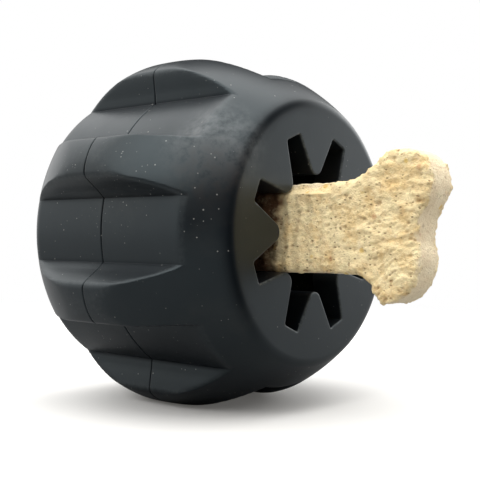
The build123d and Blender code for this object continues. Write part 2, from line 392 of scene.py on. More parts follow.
def toy_rows():
    """All rows of the closed surface, from the vent over the barrel and back through the mouth.
    Also gives the first and last row of the part that the teeth's own meshes take."""
    rows = []
    # vent wall and its rounded rear edge
    for x in (REAR_WALL - VENT_INNER_ROUNDING, REAR_WALL / 2, 2 * VENT_ROUNDING):
        rows.append(ring(x, VENT_RADIUS))
    for angle in QUARTER_TURN:
        inset = VENT_ROUNDING * (1 - math.cos(angle))
        rows.append(ring(VENT_ROUNDING * (1 - math.sin(angle)), VENT_RADIUS + inset))
    # flat rear face
    flat_start, flat_stop = VENT_RADIUS + VENT_ROUNDING, REAR_RIM[-1][1]
    for share in (0.02, 0.15, 0.4, 0.7, 0.9, 0.985):
        rows.append(ring(0.0, flat_start + (flat_stop - flat_start) * share))
    for x, radius in reversed(REAR_RIM):
        rows.append(ring(x, radius))
    # barrel
    for x in barrel_stations()[1:-1]:
        rows.append(barrel_ring(x))
    for x, radius in FRONT_RIM:
        rows.append(ring(x, radius))
    # flat mouth face, from the rim to the star outline
    rim_row = ring(LENGTH, FRONT_RIM[-1][1])
    edge_row = mouth_row(LENGTH, MOUTH_EDGE_ROUNDING)
    for share in (0.03, 0.15, 0.3):
        rows.append(rim_row * (1 - share) + edge_row * share)
    tooth_start = len(rows) - 1
    for share in (0.5, 0.7, 0.85, 0.95):
        rows.append(rim_row * (1 - share) + edge_row * share)
    rows.append(mouth_row(LENGTH, MOUTH_EDGE_ROUNDING + 0.12))
    for angle in QUARTER_TURN:
        x = LENGTH - MOUTH_EDGE_ROUNDING * (1 - math.cos(angle))
        rows.append(mouth_row(x, MOUTH_EDGE_ROUNDING * (1 - math.sin(angle))))
    # mouth wall
    back = LENGTH - LIP_THICKNESS
    for share in (0.06, 0.2, 0.4, 0.6, 0.8, 0.94):
        x = (LENGTH - MOUTH_EDGE_ROUNDING) * (1 - share) + (back + MOUTH_EDGE_ROUNDING) * share
        rows.append(mouth_row(x, 0.0))
    for angle in QUARTER_TURN:
        x = back + MOUTH_EDGE_ROUNDING * (1 - math.sin(angle))
        rows.append(mouth_row(x, MOUTH_EDGE_ROUNDING * (1 - math.cos(angle))))
    # back of the lip, then the hollow
    inner_row = ring(back, HOLLOW_RADIUS - LIP_INNER_ROUNDING)
    back_row = mouth_row(back, MOUTH_EDGE_ROUNDING)
    for share in (0.05, 0.2, 0.4, 0.6, 0.75):
        rows.append(back_row * (1 - share) + inner_row * share)
    tooth_stop = len(rows) - 1
    for share in (0.9, 1.0):
        rows.append(back_row * (1 - share) + inner_row * share)
    for angle in spread(0, math.pi / 2, 3):
        inset = LIP_INNER_ROUNDING * (1 - math.sin(angle))
        rows.append(ring(back - LIP_INNER_ROUNDING * (1 - math.cos(angle)), HOLLOW_RADIUS - inset))
    hollow_start = REAR_WALL + HOLLOW_REAR_FILLET
    for x in spread(back - LIP_INNER_ROUNDING, hollow_start, 11):
        rows.append(ring(x, HOLLOW_RADIUS))
    for angle in spread(0, math.pi / 2, 9):
        x = hollow_start - HOLLOW_REAR_FILLET * math.sin(angle)
        radius = HOLLOW_RADIUS - HOLLOW_REAR_FILLET * (1 - math.cos(angle))
        rows.append(ring(x, radius))
    flat_start, flat_stop = HOLLOW_RADIUS - HOLLOW_REAR_FILLET, VENT_RADIUS + VENT_INNER_ROUNDING
    for share in (0.1, 0.5, 0.9):
        rows.append(ring(REAR_WALL, flat_start + (flat_stop - flat_start) * share))
    for angle in QUARTER_TURN[:-1]:
        x = REAR_WALL - VENT_INNER_ROUNDING * (1 - math.cos(angle))
        rows.append(ring(x, flat_stop - VENT_INNER_ROUNDING * math.sin(angle)))
    return np.array(rows), tooth_start, tooth_stop


def quad_grid(row_count):
    """Corner (row, column) indices of all quads of the closed grid."""
    row, column = np.meshgrid(np.arange(row_count), np.arange(COLUMNS), indexing="ij")
    next_row, next_column = (row + 1) % row_count, (column + 1) % COLUMNS
    a = row * COLUMNS + column
    b = next_row * COLUMNS + column
    c = next_row * COLUMNS + next_column
    d = row * COLUMNS + next_column
    return np.stack([a, b, c, d], axis=-1).reshape(-1, 4), row.ravel(), column.ravel()


def smooth_normals(points, quads):
    across = np.cross(points[quads[:, 2]] - points[quads[:, 0]], points[quads[:, 3]] - points[quads[:, 1]])
    total = np.zeros_like(points)
    for corner in range(4):
        np.add.at(total, quads[:, corner], across)
    return total / np.linalg.norm(total, axis=1, keepdims=True)


def even_normals(normals, rows):
    """Gives every point of a plain round row the same slope, whatever the spacing of its columns."""
    plain = np.ptp(np.hypot(rows[:, :, 1], rows[:, :, 2]), axis=1) < 0.001
    normals = normals.reshape(rows.shape).copy()
    outwards = (normals[plain][:, :, 1:] * ROUND[None]).sum(axis=2).mean(axis=1)
    normals[plain, :, 0] = normals[plain, :, 0].mean(axis=1, keepdims=True)
    normals[plain, :, 1:] = outwards[:, None, None] * ROUND[None]
    return normals.reshape(-1, 3)


def make_piece(name, points, faces, normals, attributes, material):
    """A smooth-shaded mesh object from some faces of a larger surface, points in millimetres."""
    used, local = np.unique(faces, return_inverse=True)
    local = local.reshape(faces.shape)
    mesh = bpy.data.meshes.new(name)
    mesh.from_pydata((points[used] * MM).tolist(), [], local.tolist())
    mesh.polygons.foreach_set("use_smooth", [True] * len(mesh.polygons))
    add_attributes(mesh, {label: values[used] for label, values in attributes.items()})
    mesh.normals_split_custom_set_from_vertices(normals[used].tolist())
    mesh.materials.append(material)
    mesh.update()
    return new_object(name, mesh)


# ---------------------------------------------------------------- node helpers
class Nodes:
    """Small helper that adds and links shader nodes in one material or world."""

    def __init__(self, name, kind="materials"):
        self.owner = getattr(bpy.data, kind).new(name)
        self.owner.use_nodes = True
        self.tree = self.owner.node_tree
        self.tree.nodes.clear()

    def add(self, kind, inputs=None, **settings):
        node = self.tree.nodes.new(kind)
        for key, value in settings.items():
            setattr(node, key, value)
        for key, value in (inputs or {}).items():
            if isinstance(value, bpy.types.NodeSocket):
                self.tree.links.new(value, node.inputs[key])
            else:
                node.inputs[key].default_value = value
        return node

    def math(self, operation, a, b=0.0, third=0.0, clamp=False):
        node = self.add("ShaderNodeMath", {0: a, 1: b, 2: third}, operation=operation, use_clamp=clamp)
        return node.outputs[0]

    def ramp(self, value, low, high):
        """0 below low, 1 above high."""
        node = self.add("ShaderNodeMapRange", {0: value, 1: low, 2: high, 3: 0.0, 4: 1.0})
        node.interpolation_type = "SMOOTHSTEP"
        return node.outputs[0]

    def mix(self, share, a, b):
        node = self.add("ShaderNodeMix", data_type="RGBA")
        for socket, value in zip((node.inputs[0], node.inputs[6], node.inputs[7]), (share, a, b)):
            if isinstance(value, bpy.types.NodeSocket):
                self.tree.links.new(value, socket)
            else:
                socket.default_value = value
        return node.outputs[2]

    def noise(self, where, scale, detail=4.0, roughness=0.55, distortion=0.0):
        return self.add("ShaderNodeTexNoise", {
            "Vector": where, "Scale": scale, "Detail": detail,
            "Roughness": roughness, "Distortion": distortion,
        })

    def attribute(self, label):
        return self.add("ShaderNodeAttribute", attribute_name=label).outputs["Fac"]

    def finish(self, shader):
        self.add("ShaderNodeOutputMaterial", {"Surface": shader})
        return self.owner


def grey(value, tint=(1.0, 1.0, 1.0)):
    return (value * tint[0], value * tint[1], value * tint[2], 1.0)


# ---------------------------------------------------------------- materials
# marks on the dome: turn in degrees, x and radius in mm, and the share of the radius where the fade starts
# the first mark: a pale patch, partly bloomed rubber and partly a painted highlight
BLOOM_AND_HIGHLIGHT = (34, 60, 14.5, 0.10)
STAIN = (22, 61, 12.0, 0.2)
DUSTY_FILM = (13, 36, 18.0, 0.3)
# the last mark: where the mouth disc's rim takes a painted dark reflection
RIM_DARK_REFLECTION = (25, 65, 42.0, 0.6)


def near_mark(n, where, mark):
    """1 in the middle of a mark on the dome, fading to 0 at its radius."""
    turn_degrees, x, radius, fade_from = mark
    turn = math.radians(turn_degrees)
    centre = Vector((x, -crown_radius(x) * math.cos(turn), crown_radius(x) * math.sin(turn)))
    offset = n.add("ShaderNodeVectorMath", {0: where, 1: centre * MM}, operation="SUBTRACT")
    distance = n.add("ShaderNodeVectorMath", {0: offset.outputs[0]}, operation="LENGTH")
    away = n.ramp(distance.outputs["Value"], radius * fade_from * MM, radius * MM)
    return n.math("SUBTRACT", 1.0, away)


def dust(n, where, cells_per_metre, share, size):
    """Scattered pale specks: one in a share of the cells."""
    cells = n.add("ShaderNodeTexVoronoi", {"Vector": where, "Scale": cells_per_metre, "Randomness": 1.0})
    pick = n.add("ShaderNodeSeparateColor", {0: cells.outputs["Color"]})
    chosen = n.ramp(pick.outputs[0], 1 - share, 1 - share + 0.005)
    spot = n.math("SUBTRACT", 1.0, n.ramp(cells.outputs["Distance"], size * 0.5, size))
    return n.math("MULTIPLY", chosen, spot)


def rubber_dust(n, where, film):
    """Dust specks of three sizes, the finer ones in patches, and a close crowd of them in the film."""
    patches = n.ramp(n.noise(where, 55.0, 2.0).outputs["Fac"], 0.36, 0.62)
    specks = n.math("MULTIPLY", dust(n, where, 900.0, 0.14, 0.17), patches)
    specks = n.math("MAXIMUM", specks, n.math("MULTIPLY", dust(n, where, 500.0, 0.10, 0.12), patches))
    specks = n.math("MAXIMUM", specks, dust(n, where, 330.0, 0.05, 0.08))
    return n.math("MAXIMUM", specks, n.math("MULTIPLY", dust(n, where, 1100.0, 0.30, 0.17), film))


def rubber_colour(n, where, bloom_and_highlight, worn_and_highlit, mottle):
    """Near-black clouds under a pale patch that is partly bloomed rubber and partly painted highlight, a
    brown stain, a dusty film, smears, pale edges that are partly from wearing and partly painted highlight,
    and specks.
    """
    clouds = n.ramp(n.noise(where, 45.0, 3.0).outputs["Fac"], 0.35, 0.65)
    colour = n.mix(clouds, grey(0.0074, (0.75, 1.0, 1.3)), grey(0.0102, (0.8, 1.0, 1.22)))
    # pale patch: partly bloomed rubber, partly a painted highlight
    colour = n.mix(n.math("MULTIPLY", bloom_and_highlight, 0.9), colour, grey(0.17, (0.97, 1.0, 1.01)))
    stain = n.math("MULTIPLY", near_mark(n, where, STAIN), n.ramp(mottle, 0.35, 0.65))
    colour = n.mix(n.math("MULTIPLY", stain, 0.7), colour, grey(0.015, (1.35, 1.0, 0.88)))
    film = n.math("MULTIPLY", near_mark(n, where, DUSTY_FILM), n.ramp(mottle, 0.25, 0.75))
    colour = n.mix(n.math("MULTIPLY", film, 0.7), colour, grey(0.022, (0.95, 1.0, 1.0)))
    smears = n.ramp(n.noise(where, 38.0, 5.0, 0.6, 0.4).outputs["Fac"], 0.54, 0.72)
    colour = n.mix(n.math("MULTIPLY", smears, 0.25), colour, grey(0.035, (1.05, 1.0, 0.92)))
    # pale edges: partly from wearing, partly a painted highlight
    rubbed_and_highlit = n.math("MULTIPLY", n.math("POWER", worn_and_highlit, 1.5), 0.8)
    colour = n.mix(rubbed_and_highlit, colour, grey(0.12, (0.95, 1.0, 1.0)))
    specks = rubber_dust(n, where, film)
    return n.mix(n.math("MULTIPLY", specks, 0.75), colour, grey(0.40, (1.0, 0.97, 0.90)))


def rubber_material():
    """Near-black moulded rubber: satin, duller where it has bloomed and along its pale edges, with painted
    shade in the creases at the lug feet, a dark parting seam and a painted dark reflection on the mouth
    disc's rim.
    """
    n = Nodes("moulded_black_rubber")
    where = n.add("ShaderNodeTexCoord").outputs["Object"]
    mottle = n.noise(where, 420.0, 5.0, 0.65).outputs["Fac"]
    # pale patch on the dome: partly bloomed rubber, partly a painted highlight
    bloom_and_highlight = n.math("MULTIPLY", near_mark(n, where, BLOOM_AND_HIGHLIGHT), n.ramp(mottle, 0.20, 0.80))
    scuffs = n.ramp(n.noise(where, 900.0, 6.0, 0.7).outputs["Fac"], 0.40, 0.62)
    scuffed = n.math("ADD", n.math("MULTIPLY", scuffs, 0.6), 0.4)
    # pale edges, partly wearing and partly painted highlight, broken up by scuffs
    worn_and_highlit = n.math("MULTIPLY", n.attribute("edge_wear_and_highlight"), scuffed)

    grain = n.noise(where, 1500.0, 3.0, 0.6).outputs["Fac"]
    waves = n.noise(where, 150.0, 3.0, 0.5).outputs["Fac"]
    rough = n.math("ADD", 0.29, n.math("MULTIPLY", waves, 0.10))
    rough = n.math("ADD", rough, n.math("MULTIPLY", worn_and_highlit, 0.15))
    rough = n.math("ADD", rough, n.math("MULTIPLY", bloom_and_highlight, 0.12))
    height = n.math("ADD", n.math("MULTIPLY", grain, 0.22), waves)
    bump = n.add("ShaderNodeBump", {"Strength": 0.22, "Distance": 0.00012, "Height": height})

    # painted dark reflection on the mouth disc's rim: less shine there
    rim_dark_reflection = n.math("MULTIPLY", n.attribute("rim"), near_mark(n, where, RIM_DARK_REFLECTION))
    # painted shade in the creases at the lug feet, and a dark parting seam: less shine there
    shine = n.math("MULTIPLY", n.math("SUBTRACT", 1.0, n.attribute("crease_shade_and_seam")), 0.41)
    shine = n.math("MULTIPLY", shine, n.math("SUBTRACT", 1.0, n.math("MULTIPLY", rim_dark_reflection, 0.9)))
    shader = n.add("ShaderNodeBsdfPrincipled", {
        "Base Color": rubber_colour(n, where, bloom_and_highlight, worn_and_highlit, mottle),
        "Roughness": rough, "Normal": bump.outputs[0],
        "Specular IOR Level": shine, "Specular Tint": (0.80, 0.96, 1.0, 1.0),
    })
    return n.finish(shader.outputs[0])


def biscuit_material():
    """Baked cereal dough: creamy, pitted face, its pits darkened partly as painted shade; smoother, paler
    side; painted shade, dark brown, on the end inside the mouth.
    """
    n = Nodes("baked_biscuit")
    where = n.add("ShaderNodeTexCoord").outputs["Object"]
    face = n.attribute("rough_face")
    pit = n.attribute("pit")
    cream, tan, brown = (0.97, 0.80, 0.47, 1.0), (0.83, 0.60, 0.29, 1.0), (0.31, 0.17, 0.07, 1.0)

    mottle = n.noise(where, 240.0, 6.0, 0.65).outputs["Fac"]
    colour = n.mix(n.ramp(mottle, 0.40, 0.70), cream, tan)
    fine = n.noise(where, 1300.0, 4.0, 0.7).outputs["Fac"]
    colour = n.mix(n.math("MULTIPLY", n.ramp(fine, 0.54, 0.74), 0.55), colour, brown)
    along = n.add("ShaderNodeVectorMath", {0: where, 1: (0.6, 1.0, 1.0)}, operation="MULTIPLY").outputs[0]
    bran = n.add("ShaderNodeTexVoronoi", {"Vector": along, "Scale": 1350.0, "Randomness": 1.0})
    pick = n.add("ShaderNodeSeparateColor", {0: bran.outputs["Color"]})
    dot = n.math("SUBTRACT", 1.0, n.ramp(bran.outputs["Distance"], 0.12, 0.34))
    dark = n.math("MULTIPLY", n.ramp(pick.outputs[0], 0.52, 0.80), dot)
    colour = n.mix(n.math("MULTIPLY", dark, 0.8), colour, brown)
    colour = n.mix(n.math("MULTIPLY", n.attribute("toast"), 0.35), colour, (0.66, 0.42, 0.17, 1.0))

    side = n.mix(n.ramp(mottle, 0.35, 0.7), (0.97, 0.82, 0.57, 1.0), (0.86, 0.69, 0.45, 1.0))
    side = n.mix(n.math("MULTIPLY", dark, 0.30), side, brown)
    colour = n.mix(face, side, colour)

    cells = n.add("ShaderNodeTexVoronoi", {"Vector": where, "Scale": 480.0, "Randomness": 1.0})
    pick = n.add("ShaderNodeSeparateColor", {0: cells.outputs["Color"]})
    round_spot = n.math("SUBTRACT", 1.0, n.ramp(cells.outputs["Distance"], 0.16, 0.40))
    yellow = n.math("MULTIPLY", n.ramp(pick.outputs[0], 0.935, 0.95), round_spot)
    red = n.math("MULTIPLY", n.ramp(pick.outputs[1], 0.96, 0.97), round_spot)
    colour = n.mix(n.math("MULTIPLY", yellow, 0.7), colour, (0.80, 0.53, 0.12, 1.0))
    colour = n.mix(n.math("MULTIPLY", red, 0.5), colour, (0.52, 0.22, 0.10, 1.0))
    # pits darkened brown: partly browner dough, partly painted shade in the hollows
    colour = n.mix(n.math("MULTIPLY", pit, 0.85), colour, (0.36, 0.20, 0.08, 1.0))
    # painted shade on the end inside the mouth, dark brown
    mouth_shade = n.math("MULTIPLY", n.attribute("mouth_shade"), n.ramp(mottle, 0.15, 0.5))
    colour = n.mix(n.math("MULTIPLY", mouth_shade, 0.95), colour, (0.085, 0.028, 0.009, 1.0))

    crumb = n.noise(where, 2600.0, 3.0, 0.6).outputs["Fac"]
    height = n.math("ADD", n.math("MULTIPLY", fine, 0.9), n.math("MULTIPLY", dark, -0.4))
    height = n.math("ADD", height, n.math("MULTIPLY", crumb, 0.35))
    bump = n.add("ShaderNodeBump", {"Strength": 0.9, "Distance": 0.0004, "Height": height})
    shader = n.add("ShaderNodeBsdfPrincipled", {
        "Base Color": colour, "Roughness": 0.85, "Normal": bump.outputs[0],
        "Specular IOR Level": 0.25,
        "Subsurface Weight": 0.06, "Subsurface Radius": (0.6, 0.35, 0.2), "Subsurface Scale": 0.002,
    })
    return n.finish(shader.outputs[0])


# ---------------------------------------------------------------- rubber moulding
# places of the marks on the rubber, in degrees round from a lug's crest and in mm
SHOULDER_TURN, SHOULDER_WIDTH = 6.6, 0.7
FOOT_TURN, FOOT_WIDTH = 11.0, 0.35
POCKET_END_WIDTH = 0.5
PARTING_LINE_WIDTH = 0.14
LIP_WEAR_HIGHLIGHT_WIDTH = 0.42
RIM_OFFSET, RIM_WIDTH = 1.1, 1.3
FACE_MARGIN = 1.5           # the barrel's marks stop this far from the two end faces
OUTSIDE_RADIUS = 30.0       # rows beyond this radius are on the outside of the barrel


def rubber_marks(rows):
    """Where edges are pale, partly from wearing and partly as painted highlight; where painted shade darkens
    the creases at the lug feet and the parting line stays dark; and where the mouth disc's rim takes a
    painted dark reflection."""
    x = rows[:, :, 0]
    radius = np.hypot(rows[:, :, 1], rows[:, :, 2])
    crown = np.array([crown_radius(value) for value in np.clip(x[:, 0], 1, LENGTH - 1)])[:, None]
    on_barrel = (x > FACE_MARGIN) & (x < LENGTH - FACE_MARGIN) & (radius > OUTSIDE_RADIUS)
    section = SECTION[None, :]
    cut = section < crown
    shoulder = bell(np.degrees(FROM_LUG) - SHOULDER_TURN, SHOULDER_WIDTH)[None, :] * cut
    pocket_end = bell(crown - section, POCKET_END_WIDTH)
    foot = bell(np.degrees(FROM_LUG) - FOOT_TURN, FOOT_WIDTH)[None, :]
    foot = foot * smooth_step(crown - section, 0.2, 2.0)
    parting = bell(x - PARTING_X, PARTING_LINE_WIDTH)
    off_lip = np.linalg.norm(rows[:, :, 1:] - MOUTH[None, :, :], axis=2)
    lip = bell(np.hypot(x - LENGTH, off_lip), LIP_WEAR_HIGHLIGHT_WIDTH)
    # pale edges at the lug shoulders, pocket ends and mouth lip: partly wearing, partly painted highlight
    wear_and_highlight = np.clip(on_barrel * (shoulder * 0.4 + pocket_end * 0.3) + lip, 0, 1)
    # painted shade along the lug feet, and the parting line as a dark seam
    crease_shade_and_seam = on_barrel * np.clip(foot * 0.7 + parting * 0.9, 0, 1)
    # band on the mouth disc's rim that takes a painted dark reflection
    rim = bell(radius - FRONT_RIM[-1][1] - RIM_OFFSET, RIM_WIDTH) * (x > LENGTH - RIM_FILLET)
    return {"edge_wear_and_highlight": wear_and_highlight.ravel(), "crease_shade_and_seam": crease_shade_and_seam.ravel(), "rim": rim.ravel()}


def build_rubber():
    """The moulding as one closed surface, cut into the shell and the 8 teeth that bend."""
    rows, tooth_start, tooth_stop = toy_rows()
    points = rows.reshape(-1, 3)
    quads, row_of, column_of = quad_grid(len(rows))
    normals = even_normals(smooth_normals(points, quads), rows)
    attributes = rubber_marks(rows)

    # columns left and right of each tooth's middle, up to the seam column
    per_sector = 2 * HALF_COLUMNS
    place = (column_of + per_sector // 2) % per_sector - per_sector // 2
    in_tooth_columns = (place >= -SEAM_COLUMN) & (place < SEAM_COLUMN)
    in_tooth_rows = (row_of >= tooth_start) & (row_of < tooth_stop)
    tooth_faces = in_tooth_columns & in_tooth_rows
    tooth_number = ((column_of + SEAM_COLUMN) // per_sector) % SECTORS

    rubber = rubber_material()
    shell = make_piece("rubber_moulding", points, quads[~tooth_faces], normals, attributes, rubber)
    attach(shell, "shell")
    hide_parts("rubber_body")

    for number in range(SECTORS):
        name = "tooth_" + str(number + 1)
        chosen = quads[tooth_faces & (tooth_number == number)]
        tooth = make_piece("flexing_" + name, points, chosen, normals, attributes, rubber)
        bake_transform(tooth)
        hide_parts("mouth_" + name)


# ---------------------------------------------------------------- biscuit
BISCUIT_LOW, BISCUIT_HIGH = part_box("bone_biscuit")
BISCUIT_CENTRE = (BISCUIT_LOW + BISCUIT_HIGH) / 2 / MM
BISCUIT_SIZE = (BISCUIT_HIGH - BISCUIT_LOW) / MM
CRUST = 0.45                # the baked surface stands this far proud of the CAD solid
SHANK_HALF_WIDTH = 9.4
SHANK_HALF_LENGTH = 17.1
KNOB_RADIUS = 6.7
KNOB_OFFSET = 9.2
NOTCH_DEPTH = 3.3
BISCUIT_EDGE = 1.5
BISCUIT_VOXEL = 0.27
BELT_RIB = 3.3              # spacing of the ribs that the baking belt leaves across the shank
SLIDE = next(joint for joint in frame["joints"] if joint["name"] == "biscuit_slide")
TRAVEL_IN, TRAVEL_OUT = (abs(limit) / MM for limit in SLIDE["range_m"])
TOOTH_CLEARANCE = 0.5       # between a tooth's tip and the track it has pressed into the biscuit
TRACK_FADE = 2.0            # the track fades out over this length
TRACK_SIDE_SLOPE = 3.0

# how the outer end differs from a true bone shape
LOW_KNOB_SHORTER = 3.3
LOW_KNOB_HIGHER = 1.0
LOW_FLARE_WIDER = 1.3
HIGH_FLARE_WIDER = 1.2

# heights of the baked surface, and depths below it
LUMP_HEIGHT = 0.30
RIB_HEIGHT = 0.15
FLAKE_HEIGHT, FINE_FLAKE_HEIGHT = 0.46, 0.28
CRUMB_HEIGHT, FINE_CRUMB_HEIGHT = 0.14, 0.10
PIT_DEPTH = 0.38
SIDE_PIT_DEPTH = 0.12
FACE_LIFT = 0.12
RAGGED_TOP = 0.35
MOUTH_SHADE_FROM, MOUTH_SHADE_TO = 1.2, 5.0     # depth inside the mouth at which the painted shade sets in


def toward(start, end, distance):
    gap = math.hypot(end[0] - start[0], end[1] - start[1])
    share = distance / gap
    return (start[0] + (end[0] - start[0]) * share, start[1] + (end[1] - start[1]) * share)


def arc_between(centre, start, stop, count):
    """Points after start, up to stop, on the shorter arc about centre."""
    first = math.atan2(start[1] - centre[1], start[0] - centre[0])
    last = math.atan2(stop[1] - centre[1], stop[0] - centre[0])
    sweep = (last - first + math.pi) % (2 * math.pi) - math.pi
    radius = math.hypot(start[0] - centre[0], start[1] - centre[1])
    angles = [first + sweep * step / count for step in range(1, count + 1)]
    return [(centre[0] + radius * math.cos(a), centre[1] + radius * math.sin(a)) for a in angles]


def bone_outline(grow):
    """Bone outline (along, across) from its geometry, moved outwards by grow."""
    half_length = BISCUIT_SIZE.x / 2
    knob = (half_length - KNOB_RADIUS, KNOB_OFFSET)
    reach = knob[0] - SHANK_HALF_LENGTH
    rise = SHANK_HALF_WIDTH - KNOB_OFFSET
    flare = (reach ** 2 + rise ** 2 - KNOB_RADIUS ** 2) / (2 * (KNOB_RADIUS - rise))
    flare_centre = (SHANK_HALF_LENGTH, SHANK_HALF_WIDTH + flare)
    bottom = half_length - NOTCH_DEPTH
    depth = bottom - knob[0]
    notch = (depth ** 2 + KNOB_OFFSET ** 2 - KNOB_RADIUS ** 2) / (2 * (KNOB_RADIUS - depth))
    notch_centre = (bottom + notch, 0.0)
    flare_start = (SHANK_HALF_LENGTH, SHANK_HALF_WIDTH + grow)
    flare_touch = toward(knob, flare_centre, KNOB_RADIUS + grow)
    notch_touch = toward(knob, notch_centre, KNOB_RADIUS + grow)
    quarter = [(step / 12 * SHANK_HALF_LENGTH, flare_start[1]) for step in range(13)]
    quarter += arc_between(flare_centre, flare_start, flare_touch, 8)
    top = (knob[0] + (KNOB_RADIUS + grow) * 0.6, knob[1] + (KNOB_RADIUS + grow) * 0.8)
    quarter += arc_between(knob, flare_touch, top, 8)
    quarter += arc_between(knob, top, notch_touch, 8)
    quarter += arc_between(notch_centre, notch_touch, (bottom + grow, 0.0), 5)
    right = quarter + [(a, -b) for a, b in quarter[:-1][::-1]]
    left = [(-a, -b) for a, b in right[1:-1]]
    return right + left


def biscuit_blank():
    """Smooth blank of the biscuit, evenly remeshed; along X, thickness along Y."""
    outline = bone_outline(CRUST)
    half = BISCUIT_SIZE.y / 2 + CRUST
    bm = bmesh.new()
    near = [bm.verts.new((a, -half, b)) for a, b in outline]
    far = [bm.verts.new((a, half, b)) for a, b in outline]
    bm.faces.new(near)
    bm.faces.new(far[::-1])
    count = len(outline)
    for index in range(count):
        following = (index + 1) % count
        bm.faces.new((near[following], near[index], far[index], far[following]))
    bmesh.ops.recalc_face_normals(bm, faces=bm.faces)
    rims = [e for e in bm.edges if abs(e.verts[0].co.y - e.verts[1].co.y) < 0.01]
    bmesh.ops.bevel(bm, geom=rims, offset=BISCUIT_EDGE, segments=4, profile=0.5, affect="EDGES")
    bmesh.ops.triangulate(bm, faces=bm.faces)
    mesh = bpy.data.meshes.new("biscuit_blank")
    bm.to_mesh(mesh)
    bm.free()
    blank = new_object("biscuit_blank", mesh)
    remesh = blank.modifiers.new("even", "REMESH")
    remesh.mode = "VOXEL"
    remesh.voxel_size = BISCUIT_VOXEL
    graph = bpy.context.evaluated_depsgraph_get()
    even = bpy.data.meshes.new_from_object(blank.evaluated_get(graph))
    bpy.data.objects.remove(blank)
    return even


def fbm(point, scale, octaves=4):
    """Layered noise, about -1 to 1."""
    return noise.fractal(Vector(point) * scale, 0.9, 2.1, octaves)


def speckle(point, cell, chance, size):
    """Depth 0..1 of small hollows: one in some of the cells, each cell (x, y, z) mm in size."""
    p = Vector((point[0] / cell[0], point[1] / cell[1], point[2] / cell[2]))
    distances, centres = noise.voronoi(p)
    luck = noise.cell(centres[0] * 7.3 + Vector((3.1, 1.7, 5.9)))
    if luck > chance * 2 - 1:
        return 0.0
    reach = size * (0.7 + 0.5 * noise.cell(centres[0] * 3.9))
    return max(0.0, 1 - distances[0] / reach) ** 0.7


def biscuit_relief(point, face, shank):
    """Height of the baked surface (mm), how deep in a pit (0..1) and how toasted (0..1)."""
    p = Vector(point)
    warp = noise.noise(p * 0.23) * 1.5
    lumps = noise.noise(p * 0.16) * LUMP_HEIGHT
    ribs = math.cos(2 * math.pi * (p.x + 0.55 * warp) / BELT_RIB) * RIB_HEIGHT * shank
    slanted = Vector((p.x * 0.24 + p.z * 0.05, p.y * 0.5, p.z * 0.60 - p.x * 0.10 + warp * 0.15))
    flakes = noise.noise(slanted) * FLAKE_HEIGHT + noise.noise(slanted * 2.3) * FINE_FLAKE_HEIGHT
    flakes *= 1 - 0.6 * shank
    crumbs = fbm(p, 0.85, 2) * CRUMB_HEIGHT + fbm(p + Vector((5, 9, 2)), 1.7, 2) * FINE_CRUMB_HEIGHT
    pit = max(
        speckle(p, (1.9, 1.5, 1.0), 0.42 - 0.12 * shank, 0.40),
        speckle(p + Vector((40, 0, 0)), (1.15, 1.0, 0.8), 0.34, 0.34) * 0.8,
    )
    rough = lumps + ribs + flakes + crumbs - pit * PIT_DEPTH
    small = speckle(p + Vector((0, 60, 0)), (1.7, 1.7, 1.7), 0.22, 0.22)
    smooth = lumps * 0.6 + crumbs * 0.30 - small * SIDE_PIT_DEPTH
    toast = smooth_step(noise.noise(p * 0.11 + Vector((9, 2, 4))) + noise.noise(p * 0.5) * 0.4, 0.15, 0.75)
    return smooth + (rough - smooth) * face, small + (pit - small) * face, toast * face


def clear_of_teeth(co):
    """Presses a shallow track into the biscuit's corners wherever a tooth's tip passes."""
    rounding = TIP_ROUNDING + TOOTH_CLEARANCE
    low = LENGTH - LIP_THICKNESS - TRAVEL_OUT
    high = LENGTH + TRAVEL_IN
    starts = np.clip((co[:, 0] - low + TRACK_FADE) / TRACK_FADE, 0, 1)
    stops = np.clip((high + TRACK_FADE - co[:, 0]) / TRACK_FADE, 0, 1)
    for number in range(SECTORS):
        turn = 2 * HALF_SECTOR * number
        outwards = np.array([-math.cos(turn), math.sin(turn)])
        radial = co[:, 1:] @ outwards
        across = np.abs(co[:, 1] * math.sin(turn) + co[:, 2] * math.cos(turn))
        inside = np.minimum(across, rounding)
        bulge = rounding - np.sqrt(rounding ** 2 - inside ** 2)
        beside = np.maximum(across - rounding, 0) * TRACK_SIDE_SLOPE
        limit = TOOTH_TIP_RADIUS - TOOTH_CLEARANCE + bulge + beside
        excess = np.maximum(radial - limit, 0) * starts * stops
        co[:, 1:] -= outwards[None, :] * excess[:, None]
    return co


def vertex_vectors(mesh, label):
    """One vector for each vertex: its place ("co") or its normal."""
    values = np.zeros(len(mesh.vertices) * 3)
    mesh.vertices.foreach_get(label, values)
    return values.reshape(-1, 3)


def uneven_knobs(co):
    """Makes the lower outer knob shorter and higher, and widens the flare beside each outer knob."""
    low_side = smooth_step(-co[:, 2], -1, 12)
    co[:, 0] -= LOW_KNOB_SHORTER * low_side * smooth_step(co[:, 0], 20, 33)
    co[:, 2] += LOW_KNOB_HIGHER * low_side * smooth_step(co[:, 0], 16, 30)
    co[:, 2] -= LOW_FLARE_WIDER * low_side * bell(co[:, 0] - 22, 2.5)
    co[:, 2] += HIGH_FLARE_WIDER * smooth_step(co[:, 2], 2, 9) * bell(co[:, 0] - 20, 4)
    return co


